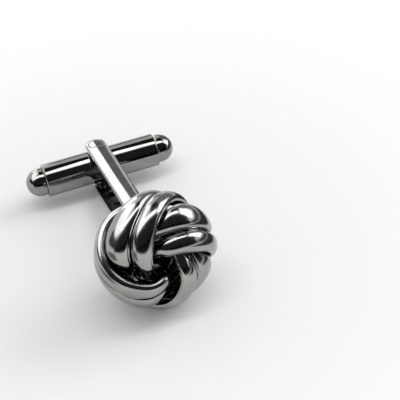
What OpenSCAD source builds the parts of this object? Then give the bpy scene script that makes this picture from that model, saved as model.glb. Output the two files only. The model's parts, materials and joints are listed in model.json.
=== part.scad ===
// Knot cufflink: a ball of eight domed strips woven as four double bands, on a flat back plate,
// and a swivelling bullet toggle held between the two arms of a forked post.
// It lies as on a table, on the knot and on the tip of the lower arm. +X runs along the toggle,
// +Y from the knot to the toggle, +Z up, and Z = 0 is the table.

/* [Knot] */
// Radius of the knot at its widest, over the crowns of the strips
knot_r = 7.35; // [6.5:0.05:9]
// How far the front of the knot stands out from its widest circle
knot_front = 5.25; // [4.8:0.05:7]
// How far the back of the knot would reach behind its widest circle
knot_back = 6; // [5.4:0.1:7]
// Height of a strip's rounded crown above its edges
crown_h = 0.6; // [0.3:0.05:0.8]
// Height of a strip's straight edge
edge_h = 0.28; // [0.15:0.01:0.4]
// Flat lip along each side of a strip
edge_lip = 0.1; // [0.05:0.01:0.2]
// Width by which the seam between the two strips of a band is opened
seam_w = 0.08; // [0.04:0.01:0.2]
// Clearance between a band and the one that passes under it
weave_clearance = 0.12; // [0.05:0.01:0.3]

/* [Back plate and post base] */
// Radius of the flat back plate
plate_r = 4.2; // [3.6:0.1:4.4]
// Thickness of the back plate
plate_t = 0.7; // [0.5:0.05:1]
// Rim of the round base outside the feet of the arms
base_rim = 0.27; // [0.1:0.01:0.5]
// Thickness of the post's base
base_t = 0.8; // [0.6:0.05:1.2]

/* [Post] */
// Distance from the middle of the knot to the toggle's pivot
post_len = 23.2; // [20:0.1:27]
// Width of each arm
arm_w = 2.6; // [2.2:0.1:3]
// Thickness of each arm
arm_t = 0.7; // [0.5:0.05:0.9]
// Gap between the toggle and each arm
arm_clearance = 0.37; // [0.2:0.01:0.6]
// How far the round end of an arm is centred beyond the pivot
arm_end_offset = 0.5; // [0:0.05:0.9]
// Bevel along the outer edges of an arm
arm_bevel = 0.12; // [0.05:0.01:0.2]

/* [Pivot pin] */
// Diameter of the pin
pin_d = 1.95; // [1.6:0.05:2.1]
// Running clearance round the pin in the toggle
pin_clearance = 0.04; // [0.02:0.01:0.08]
// Distance from the pin's axis to the two flats that key it in the arms
key_flat = 0.8; // [0.74:0.01:0.84]
// Width of the square between the click springs
click_square = 1.26; // [1:0.02:1.3]

/* [Toggle] */
// Diameter of the toggle's tube
toggle_d = 4.2; // [3.8:0.1:5]
// Length of the tube
tube_len = 14.8; // [12:0.1:18]
// Wall of the tube
tube_wall = 0.4; // [0.3:0.05:0.5]
// Bevel at the tube's two ends
tube_bevel = 0.12; // [0.05:0.01:0.2]
// Diameter of the domed end caps
cap_d = 3.56; // [3.2:0.02:3.7]
// Straight neck between a cap's dome and the tube
cap_neck = 0.57; // [0.3:0.01:1]
// Length of the plug that a cap has inside the tube
plug_len = 2.6; // [1.8:0.1:3.4]

/* [Click springs] */
// Thickness of each flat spring
spring_t = 0.15; // [0.1:0.01:0.2]
// Depth to which a spring's end is held in the slot of each plug
spring_hold = 1.2; // [0.6:0.1:1.6]

/* [Hidden] */
$fn = 96;
// Overrun of every cut past the face that it opens
cut_over = 0.1;
// Clearance of a tight fit, such as a plug in the tube
fit_gap = 0.02;
// Slack that a click spring has in its slot
spring_slack = 0.02;

// Places along the post, measured from the pivot, towards the knot negative.
// The back plate lies inside the ring of the strips' last edges.
plate_seat_share = 0.73;
toggle_r = toggle_d / 2;
knot_y = -post_len;
plate_front = knot_y + knot_back * plate_seat_share;
plate_back = plate_front + plate_t;
base_back = plate_back + base_t;
arm_inner = toggle_r + arm_clearance;
arm_outer = arm_inner + arm_t;
arm_end_r = arm_w / 2;
base_r = norm([arm_end_r, arm_outer]) + base_rim;
tube_bore = toggle_r - tube_wall;
plug_r = tube_bore - fit_gap;
pin_r = pin_d / 2;
spring_near = click_square / 2 + spring_slack;
spring_far = spring_near + spring_t;
spring_half_w = sqrt(pow(tube_bore, 2) - pow(spring_far, 2)) - fit_gap;
spring_len = tube_len - 2 * plug_len + 2 * spring_hold;
slot_half = (spring_t + spring_slack) / 2;

// The lie of the cufflink on the table
tip_y = arm_end_offset + arm_end_r;
tip_edge = tip_y - arm_bevel;
tilt = asin(knot_r / norm([tip_edge + post_len, arm_outer])) - atan2(arm_outer, tip_edge + post_len);
pivot_z = tip_edge * sin(tilt) + arm_outer * cos(tilt);
row_front = post_len * cos(tilt) + norm([knot_front * cos(tilt), knot_r * sin(tilt)]);
row_back = tip_y * cos(tilt) + (arm_outer - arm_bevel) * sin(tilt);
pivot_y = (row_front - row_back) / 2;

// The weave. A point on the knot has a bearing round the post's axis, a turn from the front pole
// towards the back, and a sink below the surface as a share of one crossing's depth. A sink below
// zero stands proud of the surface.
crossing_depth = crown_h + edge_h + weave_clearance;
edge_r = knot_r - crown_h;
edge_front = knot_front - crown_h;
edge_back = knot_back - crown_h;
// Edge nearest the middle of the pinwheel
inner_edge_shares = [[246, 19, 1.9], [221, 14, 1.7], [194, 12, 1.3], [167, 12, 0.7], [142, 16, 0.2], [124, 22, -0.1],
    [108, 30, -0.25], [95, 42, -0.35], [84, 56, -0.3], [74, 70, -0.1], [65, 84, 0], [55, 96, 0], [43, 105, 0],
    [29, 111, 0.25], [12, 114, 0.8], [-7, 116, 1.05], [-28, 117, 1.05]];
// The inner strip's edge at the seam
inner_seam_shares = [[214, 34, 1.9], [197, 32, 1.6], [180, 31, 1.25], [164, 34, 0.8], [149, 39, 0.35], [136, 45, 0.1],
    [125, 52, 0], [114, 60, 0], [104, 69, 0], [95, 80, 0], [87, 92, 0], [77, 103, 0], [65, 113, 0], [50, 122, 0],
    [33, 128, 0.2], [10, 131, 0.8], [-20, 131, 1.05]];
// The outer strip's edge at the seam, which parts from the inner strip's where the band begins
outer_seam_shares = [[215, 39, 2.1], [198, 37, 1.85], [181, 35, 1.5], [165, 37, 1], [150, 41.5, 0.45], [137, 46.5, 0.15],
    [126, 53, 0], [115, 61, 0], [105, 70, 0], [96, 81, 0], [88, 93, 0], [78, 104, 0], [66, 114, 0], [51, 123, 0],
    [34, 129, 0.2], [11, 132, 0.8], [-14, 132, 1.1], [-40, 132, 1.15]];
// Edge on the far side of the band
outer_edge_shares = [[198, 54, 2.05], [189, 55, 1.8], [180, 58, 1.45], [171, 63, 0.9], [163, 69, 0.3], [154, 75, 0],
    [146, 82, 0], [136, 89, 0], [125, 96, 0], [114, 104, 0], [104, 112, 0], [93, 120, 0], [80, 129, 0], [64, 136, 0],
    [44, 141, 0.2], [16, 142, 0.8], [-14, 141, 1.1], [-44, 138, 1.15]];
// Outline of the dark ball inside the weave, as turns and depths. It fills the ball up to the strips
// round the widest circle, and lies deeper where the bands begin and end.
core_shares = [[0, 3.4], [20, 3.4], [40, 3.3], [52, 3.2], [57, 2.9], [62, 1.8], [68, 1.1], [75, 0.8], [82, 0.62],
    [104, 0.62], [109, 0.75], [113, 1.3], [116, 1.5], [130, 1.6], [148, 1.6]];
core_steps = 4;
// Points of a strip's crown, and steps between two places of a table
crown_steps = 8;
path_steps = 3;

function ball_normal(bearing, turn) =
    let (depth = turn < 90 ? edge_front : edge_back)
    let (n = [sin(turn) * cos(bearing) / edge_r, -cos(turn) / depth, sin(turn) * sin(bearing) / edge_r])
    n / norm(n);
function ball_point(place) =
    let (bearing = place[0], turn = place[1])
    let (depth = turn < 90 ? edge_front : edge_back)
    [edge_r * sin(turn) * cos(bearing), -depth * cos(turn), edge_r * sin(turn) * sin(bearing)]
    - ball_normal(bearing, turn) * place[2] * crossing_depth;
function smooth(p, i, f) =
    let (last = len(p) - 1)
    let (a = p[max(i - 1, 0)], b = p[i], c = p[min(i + 1, last)], d = p[min(i + 2, last)])
    0.5 * (2 * b + (c - a) * f + (2 * a - 5 * b + 4 * c - d) * f * f + (3 * b - a - 3 * c + d) * f * f * f);
function path(shares) =
    let (p = [for (place = shares) ball_point(place)])
    [for (k = [0 : (len(p) - 1) * path_steps])
        let (i = min(floor(k / path_steps), len(p) - 2)) smooth(p, i, k / path_steps - i)];

// One ring of points round a strip: two straight edges with a lip, joined by a rounded crown
function strip_ring(a, b, along) =
    let (across = (b - a) / norm(b - a))
    let (up = cross(along, across) / norm(cross(along, across)))
    let (near = a + across * seam_w / 2, far = b - across * seam_w / 2)
    let (mid = (near + far) / 2, half = norm(far - near) / 2 - edge_lip)
    concat([near - up * edge_h, near],
        [for (k = [0 : crown_steps]) let (t = 180 - 180 * k / crown_steps)
            mid + across * half * cos(t) + up * crown_h * sin(t)],
        [far, far - up * edge_h]);

module strip(edge_a, edge_b) {
    a = path(edge_a);
    b = path(edge_b);
    m = (a + b) / 2;
    last = len(a) - 1;
    rings = [for (i = [0 : last])
        strip_ring(a[i], b[i], m[min(i + 1, last)] - m[max(i - 1, 0)])];
    n = len(rings[0]);
    points = [for (ring = rings) each ring];
    start_cap = [for (j = [0 : n - 1]) j];
    end_cap = [for (j = [n - 1 : -1 : 0]) last * n + j];
    sides = [for (i = [0 : last - 1], j = [0 : n - 1])
        each let (k = (j + 1) % n)
            [[i * n + j, (i + 1) * n + j, i * n + k], [i * n + k, (i + 1) * n + j, (i + 1) * n + k]]];
    polyhedron(points, concat([start_cap], sides, [end_cap]));
}

// Turns what is drawn along the post to the way the cufflink lies
module lay() {
    translate([0, pivot_y, pivot_z]) rotate([-tilt, 0, 0]) children();
}

module on_knot() {
    lay() translate([0, knot_y, 0]) children();
}

// A profile of [radius, distance towards the toggle] turned round the post's axis
module turned_on_post(profile) {
    rotate([-90, 0, 0]) rotate_extrude() polygon(profile);
}

// A profile of [radius, distance] turned round the toggle's axis
module turned_on_toggle(profile) {
    rotate([0, 90, 0]) rotate_extrude() polygon(profile);
}

// One band is the left one, turned round the post by quarter turns
module band_strip(quarter, outer) {
    on_knot() rotate([0, quarter * 90, 0])
        if (outer)
            strip(outer_seam_shares, outer_edge_shares);
        else
            strip(inner_edge_shares, inner_seam_shares);
}

// The ball inside the weave, with a short neck at the back that seats on the plate
module knot_core() {
    seat = plate_front - knot_y;
    places = [for (k = [0 : (len(core_shares) - 1) * core_steps])
        let (i = min(floor(k / core_steps), len(core_shares) - 2), f = k / core_steps - i)
            core_shares[i] * (1 - f) + core_shares[i + 1] * f];
    ball = [for (place = places) let (p = ball_point([0, place[0], place[1]])) [p[0], p[1]]];
    neck = ball[len(ball) - 1][0];
    color("dimgray") on_knot() turned_on_post(concat(ball, [[neck, seat], [0, seat]]));
}

module back_plate() {
    color("gray") lay() translate([0, plate_front, 0])
        turned_on_post([[0, 0], [plate_r, 0], [plate_r, plate_t - arm_bevel], [plate_r - arm_bevel, plate_t],
            [0, plate_t]]);
}

// The foot of each arm goes through a slot in the base
module post_base() {
    color("gray") lay() difference() {
        translate([0, plate_back, 0])
            turned_on_post([[0, 0], [base_r, 0], [base_r, base_t - arm_bevel], [base_r - arm_bevel, base_t],
                [0, base_t]]);
        for (side = [-1, 1])
            translate([0, (plate_back + base_back) / 2, side * (arm_inner + arm_t / 2)])
                cube([arm_w + 2 * fit_gap, base_t + 2 * cut_over, arm_t + 2 * fit_gap], center = true);
    }
}

// The hole that keys the pin has two flats, towards the knot and to the right
module key_outline(gap) {
    intersection() {
        circle(pin_r + gap);
        translate([-pin_d, -key_flat - gap]) square([pin_d + key_flat + gap, 2 * pin_d]);
    }
}

// The upper arm: a flat strip with its bevelled face up, a round end and a foot in the base
module arm() {
    mid = arm_outer - arm_bevel;
    flat_r = arm_end_r - arm_bevel;
    difference() {
        union() {
            translate([0, arm_end_offset, 0]) rotate([90, 0, 0]) linear_extrude(arm_end_offset - base_back)
                polygon([[-arm_end_r, arm_inner], [arm_end_r, arm_inner], [arm_end_r, mid], [flat_r, arm_outer],
                    [-flat_r, arm_outer], [-arm_end_r, mid]]);
            translate([0, arm_end_offset, 0]) rotate_extrude()
                polygon([[0, arm_inner], [arm_end_r, arm_inner], [arm_end_r, mid], [flat_r, arm_outer], [0, arm_outer]]);
            translate([-arm_end_r, plate_back, arm_inner]) cube([arm_w, base_t, arm_t]);
        }
        translate([0, 0, arm_inner - cut_over]) linear_extrude(arm_t + 2 * cut_over) key_outline(fit_gap);
    }
}

module upper_arm() {
    color("silver") lay() arm();
}

module lower_arm() {
    color("silver") lay() mirror([0, 0, 1]) arm();
}

// Round in the toggle's wall, square between the springs, and keyed in the arms
module pivot_pin() {
    square_half = spring_half_w + fit_gap;
    color("lightgray") lay() {
        for (side = [0, 1]) mirror([0, 0, side]) {
            translate([0, 0, square_half]) cylinder(h = arm_inner - square_half, r = pin_r);
            translate([0, 0, arm_inner]) linear_extrude(arm_t) key_outline(0);
        }
        intersection() {
            cylinder(h = 2 * square_half, r = pin_r, center = true);
            cube([click_square, click_square, 2 * square_half], center = true);
        }
    }
}

module toggle_tube() {
    half = tube_len / 2;
    color("slategray") lay() difference() {
        turned_on_toggle([[tube_bore, -half], [toggle_r - tube_bevel, -half], [toggle_r, -half + tube_bevel],
            [toggle_r, half - tube_bevel], [toggle_r - tube_bevel, half], [tube_bore, half]]);
        cylinder(h = toggle_d + 2 * cut_over, r = pin_r + pin_clearance, center = true);
    }
}

// A dome on a short neck, and a slotted plug that holds the ends of both springs
module end_cap() {
    half = tube_len / 2;
    cap_r = cap_d / 2;
    slot_len = spring_hold + spring_slack;
    difference() {
        union() {
            turned_on_toggle([[0, half - plug_len], [plug_r, half - plug_len], [plug_r, half], [cap_r, half],
                [cap_r, half + cap_neck], [0, half + cap_neck]]);
            intersection() {
                translate([half + cap_neck, 0, 0]) sphere(cap_r);
                translate([half, -cap_r, -cap_r]) cube([cap_d, cap_d, cap_d]);
            }
        }
        for (side = [-1, 1])
            translate([half - plug_len - cut_over, side * (spring_near + spring_t / 2) - slot_half, -tube_bore])
                cube([slot_len + cut_over, 2 * slot_half, 2 * tube_bore]);
    }
}

module left_end_cap() {
    color("slategray") lay() mirror([1, 0, 0]) end_cap();
}

module right_end_cap() {
    color("slategray") lay() end_cap();
}

module click_spring(side) {
    color("lightsteelblue") lay()
        translate([-spring_len / 2, side > 0 ? spring_near : -spring_far, -spring_half_w])
            cube([spring_len, spring_t, 2 * spring_half_w]);
}

knot_core();
back_plate();
post_base();
upper_arm();
lower_arm();
pivot_pin();
toggle_tube();
left_end_cap();
right_end_cap();
click_spring(-1);  // front_click_spring
click_spring(1);  // rear_click_spring
color("silver") band_strip(0, false);  // left_inner_strip
color("silver") band_strip(0, true);  // left_outer_strip
color("gray") band_strip(1, false);  // top_inner_strip
color("gray") band_strip(1, true);  // top_outer_strip
color("silver") band_strip(2, false);  // right_inner_strip
color("silver") band_strip(2, true);  // right_outer_strip
color("gray") band_strip(3, false);  // bottom_inner_strip
color("gray") band_strip(3, true);  // bottom_outer_strip
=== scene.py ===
# %% [markdown]
# This lesson dresses a woven knot cufflink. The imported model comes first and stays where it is: every
# piece already has its size and its place, so the work here is shape detail, metal and light.

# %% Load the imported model
import json
import math

import bmesh
import bpy
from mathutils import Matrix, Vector


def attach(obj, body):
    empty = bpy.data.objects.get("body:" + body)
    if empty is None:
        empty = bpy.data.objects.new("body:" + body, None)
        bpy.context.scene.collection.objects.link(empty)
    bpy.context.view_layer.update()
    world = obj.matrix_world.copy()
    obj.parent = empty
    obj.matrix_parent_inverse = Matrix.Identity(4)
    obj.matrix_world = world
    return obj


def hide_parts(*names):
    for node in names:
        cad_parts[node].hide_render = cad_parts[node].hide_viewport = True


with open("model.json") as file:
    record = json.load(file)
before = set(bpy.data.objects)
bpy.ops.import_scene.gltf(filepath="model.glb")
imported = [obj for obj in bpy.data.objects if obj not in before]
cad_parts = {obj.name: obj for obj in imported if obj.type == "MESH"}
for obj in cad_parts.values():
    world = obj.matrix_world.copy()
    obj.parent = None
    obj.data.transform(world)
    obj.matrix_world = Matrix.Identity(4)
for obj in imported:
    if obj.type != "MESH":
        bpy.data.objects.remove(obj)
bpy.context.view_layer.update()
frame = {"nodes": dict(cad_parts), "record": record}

MM = 0.001

# %% [markdown]
# All of this cufflink is one metal: brass or steel, plated in dark gunmetal and polished like a
# mirror. A mirror has almost no colour pattern of its own, so the finish is told by small things: a tint
# that clouds very slightly, a polish that isn't equally sharp everywhere, and hairlines left by the
# cloth. All three read Object coordinates, so they stay on the metal when a piece moves.

# %% A polished metal with clouds, uneven polish and hairlines
CLOUD_SIZE = 2.2 * MM
PATCH_SIZE = 0.9 * MM
HAIRLINE_SIZE = 0.12 * MM
HAIRLINE_STRETCH = 0.04
HAIRLINE_DEPTH = 0.0006 * MM
CLOUD_LOW, CLOUD_HIGH = 0.3, 0.7
SHARPER, DULLER = 0.7, 1.4


def noise(nodes, links, place, size, detail):
    """A noise whose features are about size across."""
    made = nodes.new("ShaderNodeTexNoise")
    made.inputs["Scale"].default_value = 1 / size
    made.inputs["Detail"].default_value = detail
    links.new(place, made.inputs["Vector"])
    return made.outputs["Fac"]


def polished_metal(name, tint, roughness, spread=0.12, hairlines=0.5, along="X"):
    """Plated metal: tint is its colour, roughness its polish, spread how much the tint clouds."""
    material = bpy.data.materials.new(name)
    material.use_nodes = True
    nodes = material.node_tree.nodes
    links = material.node_tree.links
    shader = nodes["Principled BSDF"]
    shader.inputs["Metallic"].default_value = 1
    place = nodes.new("ShaderNodeTexCoord").outputs["Object"]

    clouds = nodes.new("ShaderNodeValToRGB")
    clouds.color_ramp.elements[0].position = CLOUD_LOW
    clouds.color_ramp.elements[1].position = CLOUD_HIGH
    for element, share in zip(clouds.color_ramp.elements, (1 - spread, 1 + spread)):
        element.color = [channel * share for channel in tint] + [1]
    links.new(noise(nodes, links, place, CLOUD_SIZE, 3), clouds.inputs["Fac"])
    links.new(clouds.outputs["Color"], shader.inputs["Base Color"])

    polish = nodes.new("ShaderNodeMapRange")
    polish.inputs["To Min"].default_value = roughness * SHARPER
    polish.inputs["To Max"].default_value = roughness * DULLER
    links.new(noise(nodes, links, place, PATCH_SIZE, 4), polish.inputs["Value"])
    links.new(polish.outputs["Result"], shader.inputs["Roughness"])

    stretch = nodes.new("ShaderNodeMapping")
    stretch.inputs["Scale"].default_value["XYZ".index(along)] = HAIRLINE_STRETCH
    links.new(place, stretch.inputs["Vector"])
    scratched = nodes.new("ShaderNodeBump")
    scratched.inputs["Strength"].default_value = hairlines
    scratched.inputs["Distance"].default_value = HAIRLINE_DEPTH
    lines = noise(nodes, links, stretch.outputs["Vector"], HAIRLINE_SIZE, 2)
    links.new(lines, scratched.inputs["Height"])
    links.new(scratched.outputs["Normal"], shader.inputs["Normal"])
    return material


# %% [markdown]
# The bands are the brightest polish. The ball inside the weave is only seen through gaps. Its plating
# is painted darker than the bands, as painted shade for those gaps, and its tint clouds more. The
# springs hide in the tube and are plain blued steel, brushed along their length.

# %% The finishes of this cufflink
GUNMETAL = (0.36, 0.362, 0.346)
# The tube and its caps use the same gunmetal, painted darker as painted shade.
SHADED_TOGGLE_GUNMETAL = (0.29, 0.292, 0.28)
# The core's darker gunmetal is painted shade for the gaps it is seen through.
SHADED_CORE_GUNMETAL = (0.2, 0.202, 0.195)
BLUED_STEEL = (0.3, 0.32, 0.36)
FINISHES = {
    "knot_band": polished_metal("polished_gunmetal_band", GUNMETAL, 0.15),
    "knot_core": polished_metal("core_plating_painted_shade", SHADED_CORE_GUNMETAL, 0.14, spread=0.25),
    "back_plate": polished_metal("polished_gunmetal_plate", GUNMETAL, 0.09),
    "post_arm": polished_metal("polished_gunmetal_arm", GUNMETAL, 0.08, along="Y"),
    "pivot_pin": polished_metal("polished_gunmetal_pin", GUNMETAL, 0.1),
    "toggle_tube": polished_metal("polished_gunmetal_tube", SHADED_TOGGLE_GUNMETAL, 0.06, along="X"),
    "end_cap": polished_metal("polished_gunmetal_cap", SHADED_TOGGLE_GUNMETAL, 0.05),
    "click_spring": polished_metal("blued_spring_steel", BLUED_STEEL, 0.25, hairlines=1, along="X"),
}
node_slot = {part["node"]: part["material_slot"] for part in frame["record"]["subparts"]}
node_body = {
    node: body
    for body, nodes in frame["record"]["behaviour"]["bodies"].items()
    for node in nodes
}


def finish_piece(piece, slot):
    """Gives a piece the finish of a slot, in place of what it came with."""
    piece.data.materials.clear()
    piece.data.materials.append(FINISHES[slot])


for node, piece in frame["nodes"].items():
    finish_piece(piece, node_slot[node])
print("finishes", len(FINISHES))

# %% [markdown]
# The model's pieces come as triangles. A copy of each visible piece is welded and its flat faces are
# joined again, so that its real corners can be found and given a small round edge, as polishing
# does. That round edge is the thin bright line along every lip, rim and arm. Where two faces meet at
# less than the fold angle the surface is a curve and is shaded smooth.

# %% Copies with rounded corners
WELD = 0.001 * MM
FOLD = math.radians(30)
CORNER = math.radians(40)
SAME_PLANE = math.radians(0.5)
EDGE_ROUND = 0.04 * MM


def welded_copy(node):
    """A mesh of a CAD node with its triangles welded together."""
    shape = bmesh.new()
    shape.from_mesh(frame["nodes"][node].data)
    bmesh.ops.remove_doubles(shape, verts=shape.verts, dist=WELD)
    return shape


def corner_edges(shape, least):
    """The edges where two faces meet at more than an angle, outward corners only."""
    return [
        edge
        for edge in shape.edges
        if len(edge.link_faces) == 2 and edge.calc_face_angle_signed() > least
    ]


def round_corners(shape, edges, width):
    """Rounds corners by a width. The clamp stays off: one tight spot would shrink them all."""
    bmesh.ops.bevel(
        shape,
        geom=edges,
        offset=width,
        offset_type="OFFSET",
        segments=2,
        profile=0.5,
        affect="EDGES",
        clamp_overlap=False,
        material=-1,
    )


def dressed_piece(shape, name, node):
    """Makes a finished piece that moves with a node's body and stands in for the node."""
    mesh = bpy.data.meshes.new(name)
    shape.to_mesh(mesh)
    shape.free()
    piece = bpy.data.objects.new(name, mesh)
    bpy.context.scene.collection.objects.link(piece)
    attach(piece, node_body[node])
    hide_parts(node)
    finish_piece(piece, node_slot[node])
    return piece


# %% [markdown]
# The arms look flat, but their outer faces are slightly crowned, like a half-round strip: the left
# half of the upper arm mirrors a lamp and the right half is grey. The crown is made by cutting the
# face to a fine grid and lowering each point a little more the farther it is from the arm's middle
# line. Past the middle of the round end the distance is measured from that point, so the end is
# domed too. The heads of the pin are ground flush with the arms and get the same crown. The slope
# of the post comes from the hinge's axis, which stands square on the arms.

# %% Crowned arms and pin heads
hinge = frame["record"]["behaviour"]["joints"][0]
PIVOT = Vector(hinge["pos_m"])
AXIS = Vector(hinge["axis"]).normalized()
ALONG = Vector((1, 0, 0)).cross(AXIS) * -1
CROWN = 0.3 * MM
ARM_HALF = 1.3 * MM
ROUND_END = 0.5 * MM
POST_LENGTH = 18 * MM
GRID = 0.15 * MM
CROWNED_OVER = 2.95 * MM
HEAD_SHRINK = 0.06
PIN_HOLE = 1.5 * MM


def cut_by_planes(shape, direction, low, high, step):
    """Cuts a piece by evenly spaced planes, from low to high along a direction from the pivot."""
    for line in range(1, round((high - low) / step)):
        place = PIVOT + direction * (low + line * step)
        geometry = shape.verts[:] + shape.edges[:] + shape.faces[:]
        bmesh.ops.bisect_plane(shape, geom=geometry, dist=WELD, plane_co=place, plane_no=direction)


def crown_outer_faces(shape):
    """Lowers the outer faces away from the middle line. Heights are measured from the pivot."""
    for corner in shape.verts:
        place = corner.co - PIVOT
        height = place.dot(AXIS)
        if abs(height) > CROWNED_OVER:
            past_end = max(place.dot(ALONG) - ROUND_END, 0)
            drop = CROWN * (place.x**2 + past_end**2) / ARM_HALF**2
            corner.co -= AXIS * math.copysign(drop, height)


def narrow_heads(shape):
    """Draws the rims of the pin's heads in a little, so that a dark line shows round them."""
    for corner in shape.verts:
        place = corner.co - PIVOT
        height = place.dot(AXIS)
        if abs(height) > CROWNED_OVER:
            corner.co -= (place - AXIS * height) * HEAD_SHRINK


def smooth_below_fold(shape):
    for face in shape.faces:
        face.smooth = True
    for edge in shape.edges:
        edge.smooth = len(edge.link_faces) == 2 and edge.calc_face_angle() < FOLD


def settle_order(shape):
    """Orders points and faces by their place. Rounding corners leaves them in no fixed order."""
    for index, corner in enumerate(sorted(shape.verts, key=lambda corner: corner.co[:])):
        corner.index = index
    shape.verts.sort()
    for index, face in enumerate(sorted(shape.faces, key=lambda face: face.calc_center_median()[:])):
        face.index = index
    shape.faces.sort()


def polished_part(node, crowned):
    """A hard piece with round corners. The tube's pin hole keeps its sharp rim, in its own facets."""
    shape = welded_copy(node)
    bmesh.ops.dissolve_limit(
        shape, angle_limit=SAME_PLANE, verts=shape.verts, edges=shape.edges
    )
    corners = corner_edges(shape, CORNER)
    if node == "toggle_tube":
        corners = [edge for edge in corners if abs(edge.verts[0].co.x) > PIN_HOLE]
    round_corners(shape, corners, EDGE_ROUND)
    if node == "toggle_tube":
        cut_by_planes(shape, Vector((1, 0, 0)), -2 * PIN_HOLE, 2 * PIN_HOLE, PIN_HOLE)
    if node == "pivot_pin":
        narrow_heads(shape)
    if crowned:
        cut_by_planes(shape, Vector((1, 0, 0)), -ARM_HALF, ARM_HALF, GRID)
        cut_by_planes(shape, ALONG, -ARM_HALF, ARM_HALF + ROUND_END, GRID)
        cut_by_planes(shape, ALONG, -POST_LENGTH, -ARM_HALF, ARM_HALF)
        crown_outer_faces(shape)
    bmesh.ops.triangulate(shape, faces=[face for face in shape.faces if len(face.verts) > 4])
    smooth_below_fold(shape)
    settle_order(shape)
    piece = dressed_piece(shape, "polished_" + node, node)
    even = piece.modifiers.new("even_shading", "WEIGHTED_NORMAL")
    even.keep_sharp = True
    return piece


for node in ("upper_arm", "lower_arm", "pivot_pin"):
    made = polished_part(node, True)
    print(made.name, "faces", len(made.data.polygons))
for node in ("toggle_tube", "left_end_cap", "right_end_cap", "post_base", "back_plate"):
    made = polished_part(node, False)
    print(made.name, "faces", len(made.data.polygons))

# %% [markdown]
# The strips of the knot are domed, with a thin flat lip along both sides. In the model they are
# made of small flat triangles, which a mirror finish would show at once. Here the triangles are
# joined to four-sided faces, the corners of the lips are rounded, and a subdivision surface makes
# the dome smooth. Drawing the strips again from curves would also work, but a copy keeps the
# model's own shape.

# %% Smooth bands
LIP_ROUND = 0.03 * MM
LIP_CORNER = math.radians(55)
LIP_CREASE = 0.8
JOIN_BELOW = math.radians(90)
JOIN_SKEW = math.radians(175)


def smooth_strip(node):
    """A strip with round lips and a smooth dome. Inward corners keep a crease."""
    shape = welded_copy(node)
    bmesh.ops.join_triangles(
        shape,
        faces=shape.faces,
        angle_face_threshold=JOIN_BELOW,
        angle_shape_threshold=JOIN_SKEW,
    )
    round_corners(shape, corner_edges(shape, LIP_CORNER), LIP_ROUND)
    crease = shape.edges.layers.float.new("crease_edge")
    for edge in shape.edges:
        if len(edge.link_faces) == 2 and edge.calc_face_angle_signed() < -FOLD:
            edge[crease] = LIP_CREASE
    for face in shape.faces:
        face.smooth = True
    piece = dressed_piece(shape, node.replace("strip", "band"), node)
    rounding = piece.modifiers.new("rounding", "SUBSURF")
    rounding.levels = 2
    rounding.render_levels = 2
    return piece


for node in sorted(frame["nodes"]):
    if node.endswith("_strip"):
        band = smooth_strip(node)
        print(band.name, "faces", len(band.data.polygons))

# %% [markdown]
# The photograph has a plain white ground. The floor here is pale paper near the cufflink, where it
# keeps the soft shadow, and fades to plain white farther out. Only the camera and mirrors see that
# white, so it throws no light on the metal. The camera stands where the photographer's camera
# stood: a long lens, in front of the knot, a little to its left, looking down. Its place, turn and
# focal length were found by matching marked points of the photograph, and are rounded.

# %% Floor and camera
FLOOR_SIZE = 4.0
PAPER = 0.93
PAPER_ROUGHNESS = 0.9
FADE_START = 0.016
FADE_END = 0.055
CAMERA_PLACE = Vector((-28.85, -124.53, 112.5)) * MM
CAMERA_TURN = [math.radians(angle) for angle in (50.08, 4.372, -20.49)]
SENSOR = 36.0
FOCAL_LENGTH = 125.2
NEAREST_SEEN = 0.005


def stage_grid(name, width, depth):
    """A flat staged sheet, facing up."""
    shape = bmesh.new()
    bmesh.ops.create_grid(shape, x_segments=1, y_segments=1, size=0.5)
    bmesh.ops.scale(shape, verts=shape.verts, vec=(width, depth, 1))
    mesh = bpy.data.meshes.new(name)
    shape.to_mesh(mesh)
    shape.free()
    made = bpy.data.objects.new(name, mesh)
    bpy.context.scene.collection.objects.link(made)
    return made


def seen_or_mirrored(nodes, links):
    """1 for what the camera sees, straight or in a mirror or glass, and 0 for scattered light."""
    path = nodes.new("ShaderNodeLightPath")
    total = path.outputs["Is Camera Ray"]
    for name in ("Is Glossy Ray", "Is Transmission Ray"):
        more = nodes.new("ShaderNodeMath")
        more.operation = "MAXIMUM"
        links.new(total, more.inputs[0])
        links.new(path.outputs[name], more.inputs[1])
        total = more.outputs["Value"]
    return total


def fading_paper():
    """Pale paper that keeps the shadow near the cufflink and fades to plain white farther out."""
    paper = bpy.data.materials.new("pale_paper")
    paper.use_nodes = True
    nodes = paper.node_tree.nodes
    links = paper.node_tree.links
    matt = nodes["Principled BSDF"]
    matt.inputs["Base Color"].default_value = (PAPER, PAPER, PAPER, 1)
    matt.inputs["Roughness"].default_value = PAPER_ROUGHNESS
    matt.inputs["Specular IOR Level"].default_value = 0
    white = nodes.new("ShaderNodeEmission")
    far = nodes.new("ShaderNodeVectorMath")
    far.operation = "LENGTH"
    links.new(nodes.new("ShaderNodeTexCoord").outputs["Object"], far.inputs[0])
    fade = nodes.new("ShaderNodeMapRange")
    fade.interpolation_type = "SMOOTHSTEP"
    fade.inputs["From Min"].default_value = FADE_START
    fade.inputs["From Max"].default_value = FADE_END
    links.new(far.outputs["Value"], fade.inputs["Value"])
    share = nodes.new("ShaderNodeMath")
    share.operation = "MULTIPLY"
    links.new(fade.outputs["Result"], share.inputs[0])
    links.new(seen_or_mirrored(nodes, links), share.inputs[1])
    mixed = nodes.new("ShaderNodeMixShader")
    links.new(share.outputs["Value"], mixed.inputs["Fac"])
    links.new(matt.outputs["BSDF"], mixed.inputs[1])
    links.new(white.outputs["Emission"], mixed.inputs[2])
    links.new(mixed.outputs["Shader"], nodes["Material Output"].inputs["Surface"])
    return paper


floor = stage_grid("floor", FLOOR_SIZE, FLOOR_SIZE)
floor.data.materials.append(fading_paper())

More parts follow.
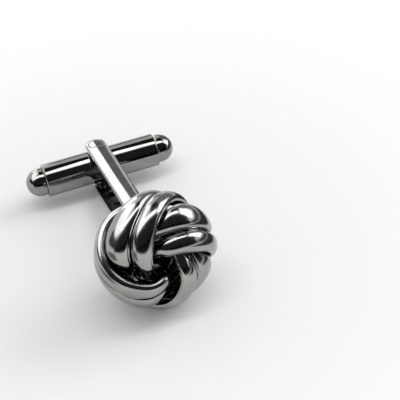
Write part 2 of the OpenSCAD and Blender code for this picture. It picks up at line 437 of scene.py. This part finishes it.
camera = bpy.data.objects.new("camera", bpy.data.cameras.new("camera"))
bpy.context.scene.collection.objects.link(camera)
camera.location = CAMERA_PLACE
camera.rotation_euler = CAMERA_TURN
camera.data.sensor_width = SENSOR
camera.data.lens = FOCAL_LENGTH
camera.data.clip_start = NEAREST_SEEN
bpy.context.scene.camera = camera

# %% [markdown]
# Mirror-polished metal shows the studio more than itself. A photographer puts soft lamps where the
# metal should be bright, and dark cards where it should be deep. Everything in this set is placed by the
# direction in which the metal sees it: a tunnel of long cards runs from the front over the top to the
# back, with a gap for the overhead lamp, a softbox stands at the right, and two glowing cards as bright
# as the lamps stand behind. Cards are seen only in reflections, so the two glowing ones are painted
# highlights on the metal that light nothing else. The lamps and the world together light pale paper to
# about its own colour, and no more.

# %% Soft lamps, reflectors and dark cards
TUNNEL_RADIUS = 0.5
TUNNEL_LEFT = -1.5
TUNNEL_RIGHT = 0.8
REAR_TOP_LEFT = 0.02
SIDE_DISTANCE = 0.5
OVERHEAD_LENGTH = 0.6
OVERHEAD_RADIANCE = 2.8
SOFTBOX_RADIANCE = 2.8
FLOOR_CARD_LIFT = 0.1 * MM
SCATTERED_LIGHT = 0.6


def around(angle):
    """A direction in the tunnel: 0 is the front, 90 overhead, 180 the back."""
    return Vector((0, -math.cos(math.radians(angle)), math.sin(math.radians(angle))))


def towards(azimuth, elevation):
    """A direction by its azimuth, 0 to the front and 90 to the right, and its elevation."""
    side, up = math.radians(azimuth), math.radians(elevation)
    return Vector((math.sin(side) * math.cos(up), -math.cos(side) * math.cos(up), math.sin(up)))


def face_the_middle(made, place):
    made.location = place
    made.rotation_euler = place.to_track_quat("Z", "Y").to_euler()


def tunnel_span(low, high):
    """The depth of a sheet that fills the tunnel from one angle to another."""
    return 2 * TUNNEL_RADIUS * math.tan(math.radians(high - low) / 2)


def side_span(angle):
    """The size of a sheet at the side distance that fills an angle."""
    return 2 * SIDE_DISTANCE * math.tan(math.radians(angle) / 2)


def soft_lamp(name, place, size, radiance):
    """A rectangular soft lamp that looks at the cufflink."""
    light = bpy.data.lights.new(name, "AREA")
    light.shape = "RECTANGLE"
    light.size, light.size_y = size
    light.energy = radiance * math.pi * size[0] * size[1]
    lamp = bpy.data.objects.new(name, light)
    bpy.context.scene.collection.objects.link(lamp)
    face_the_middle(lamp, place)
    lamp.visible_camera = False


def card(name, place, size, level):
    """A sheet that only the polished metal sees, at an even grey level."""
    made = stage_grid(name, *size)
    face_the_middle(made, place)
    made.visible_camera = False
    made.visible_diffuse = False
    made.visible_transmission = False
    made.visible_shadow = False
    grey = bpy.data.materials.new(name)
    grey.use_nodes = True
    nodes = grey.node_tree.nodes
    nodes.remove(nodes["Principled BSDF"])
    glow = nodes.new("ShaderNodeEmission")
    glow.inputs["Color"].default_value = (level, level, level, 1)
    grey.node_tree.links.new(glow.outputs["Emission"], nodes["Material Output"].inputs["Surface"])
    made.data.materials.append(grey)
    return made


def tunnel_card(name, low, high, left, right, level):
    """A card of the tunnel, from one tunnel angle to another and from a left to a right end."""
    place = around((low + high) / 2) * TUNNEL_RADIUS + Vector(((left + right) / 2, 0, 0))
    made = card(name, place, (right - left, tunnel_span(low, high)), level)
    made.rotation_euler = (math.radians(90 - (low + high) / 2), 0, 0)
    return made


soft_lamp(
    "overhead_lamp",
    around(88) * TUNNEL_RADIUS,
    (OVERHEAD_LENGTH, tunnel_span(81, 95)),
    OVERHEAD_RADIANCE,
)
soft_lamp(
    "right_softbox",
    towards(95, 33) * SIDE_DISTANCE,
    (side_span(34), side_span(36)),
    SOFTBOX_RADIANCE,
)

# The two cards at level 2.8 glow for the metal alone: painted highlights, with no light on anything
# else.
# Name, azimuth, elevation, width and height as angles, and level of each sheet beside the metal
for name, azimuth, elevation, width, height, level in (
    ("left_glowing_card", -131, 50, 66, 34, 2.8),
    ("rear_glowing_card", -175, 16, 22, 24, 2.8),
    ("rear_card", 165, 14, 17, 16, 0.24),
    ("right_rear_card", 136, 25, 36, 52, 0.3),
    ("left_card", -93, 19, 50, 22, 0.06),
    ("right_card", 92, 5, 64, 12, 0.03),
):
    place = towards(azimuth, elevation) * SIDE_DISTANCE
    card(name, place, (side_span(width), side_span(height)), level)

# Name, lowest and highest tunnel angle, left end and level of each card of the tunnel
for name, low, high, left, level in (
    ("low_front_card", -3, 26, TUNNEL_LEFT, 0.008),
    ("high_front_card", 26, 76, TUNNEL_LEFT, 0.03),
    ("rear_top_card", 98, 130, REAR_TOP_LEFT, 0.02),
):
    tunnel_card(name, low, high, left, TUNNEL_RIGHT, level)

# Name, place, size, turn and level of each card on the floor
for name, place, size, turn, level in (
    ("left_floor_card", (-0.05, -0.02), (0.06, 0.025), 20, 0.25),
    ("right_floor_card", (0.1, 0), (0.15, 0.12), 0, 0.05),
):
    strip = card(name, Vector((*place, FLOOR_CARD_LIFT)), size, level)
    strip.rotation_euler = (0, 0, math.radians(turn))

world = bpy.data.worlds.new("white_studio")
bpy.context.scene.world = world
world.use_nodes = True
surround = world.node_tree.nodes["Background"]
surround.inputs["Color"].default_value = (1, 1, 1, 1)
level = world.node_tree.nodes.new("ShaderNodeMapRange")
level.inputs["To Min"].default_value = SCATTERED_LIGHT
level.inputs["To Max"].default_value = 1
seen = seen_or_mirrored(world.node_tree.nodes, world.node_tree.links)
world.node_tree.links.new(seen, level.inputs["Value"])
world.node_tree.links.new(level.outputs["Result"], surround.inputs["Strength"])
bpy.context.scene.view_settings.view_transform = "Standard"
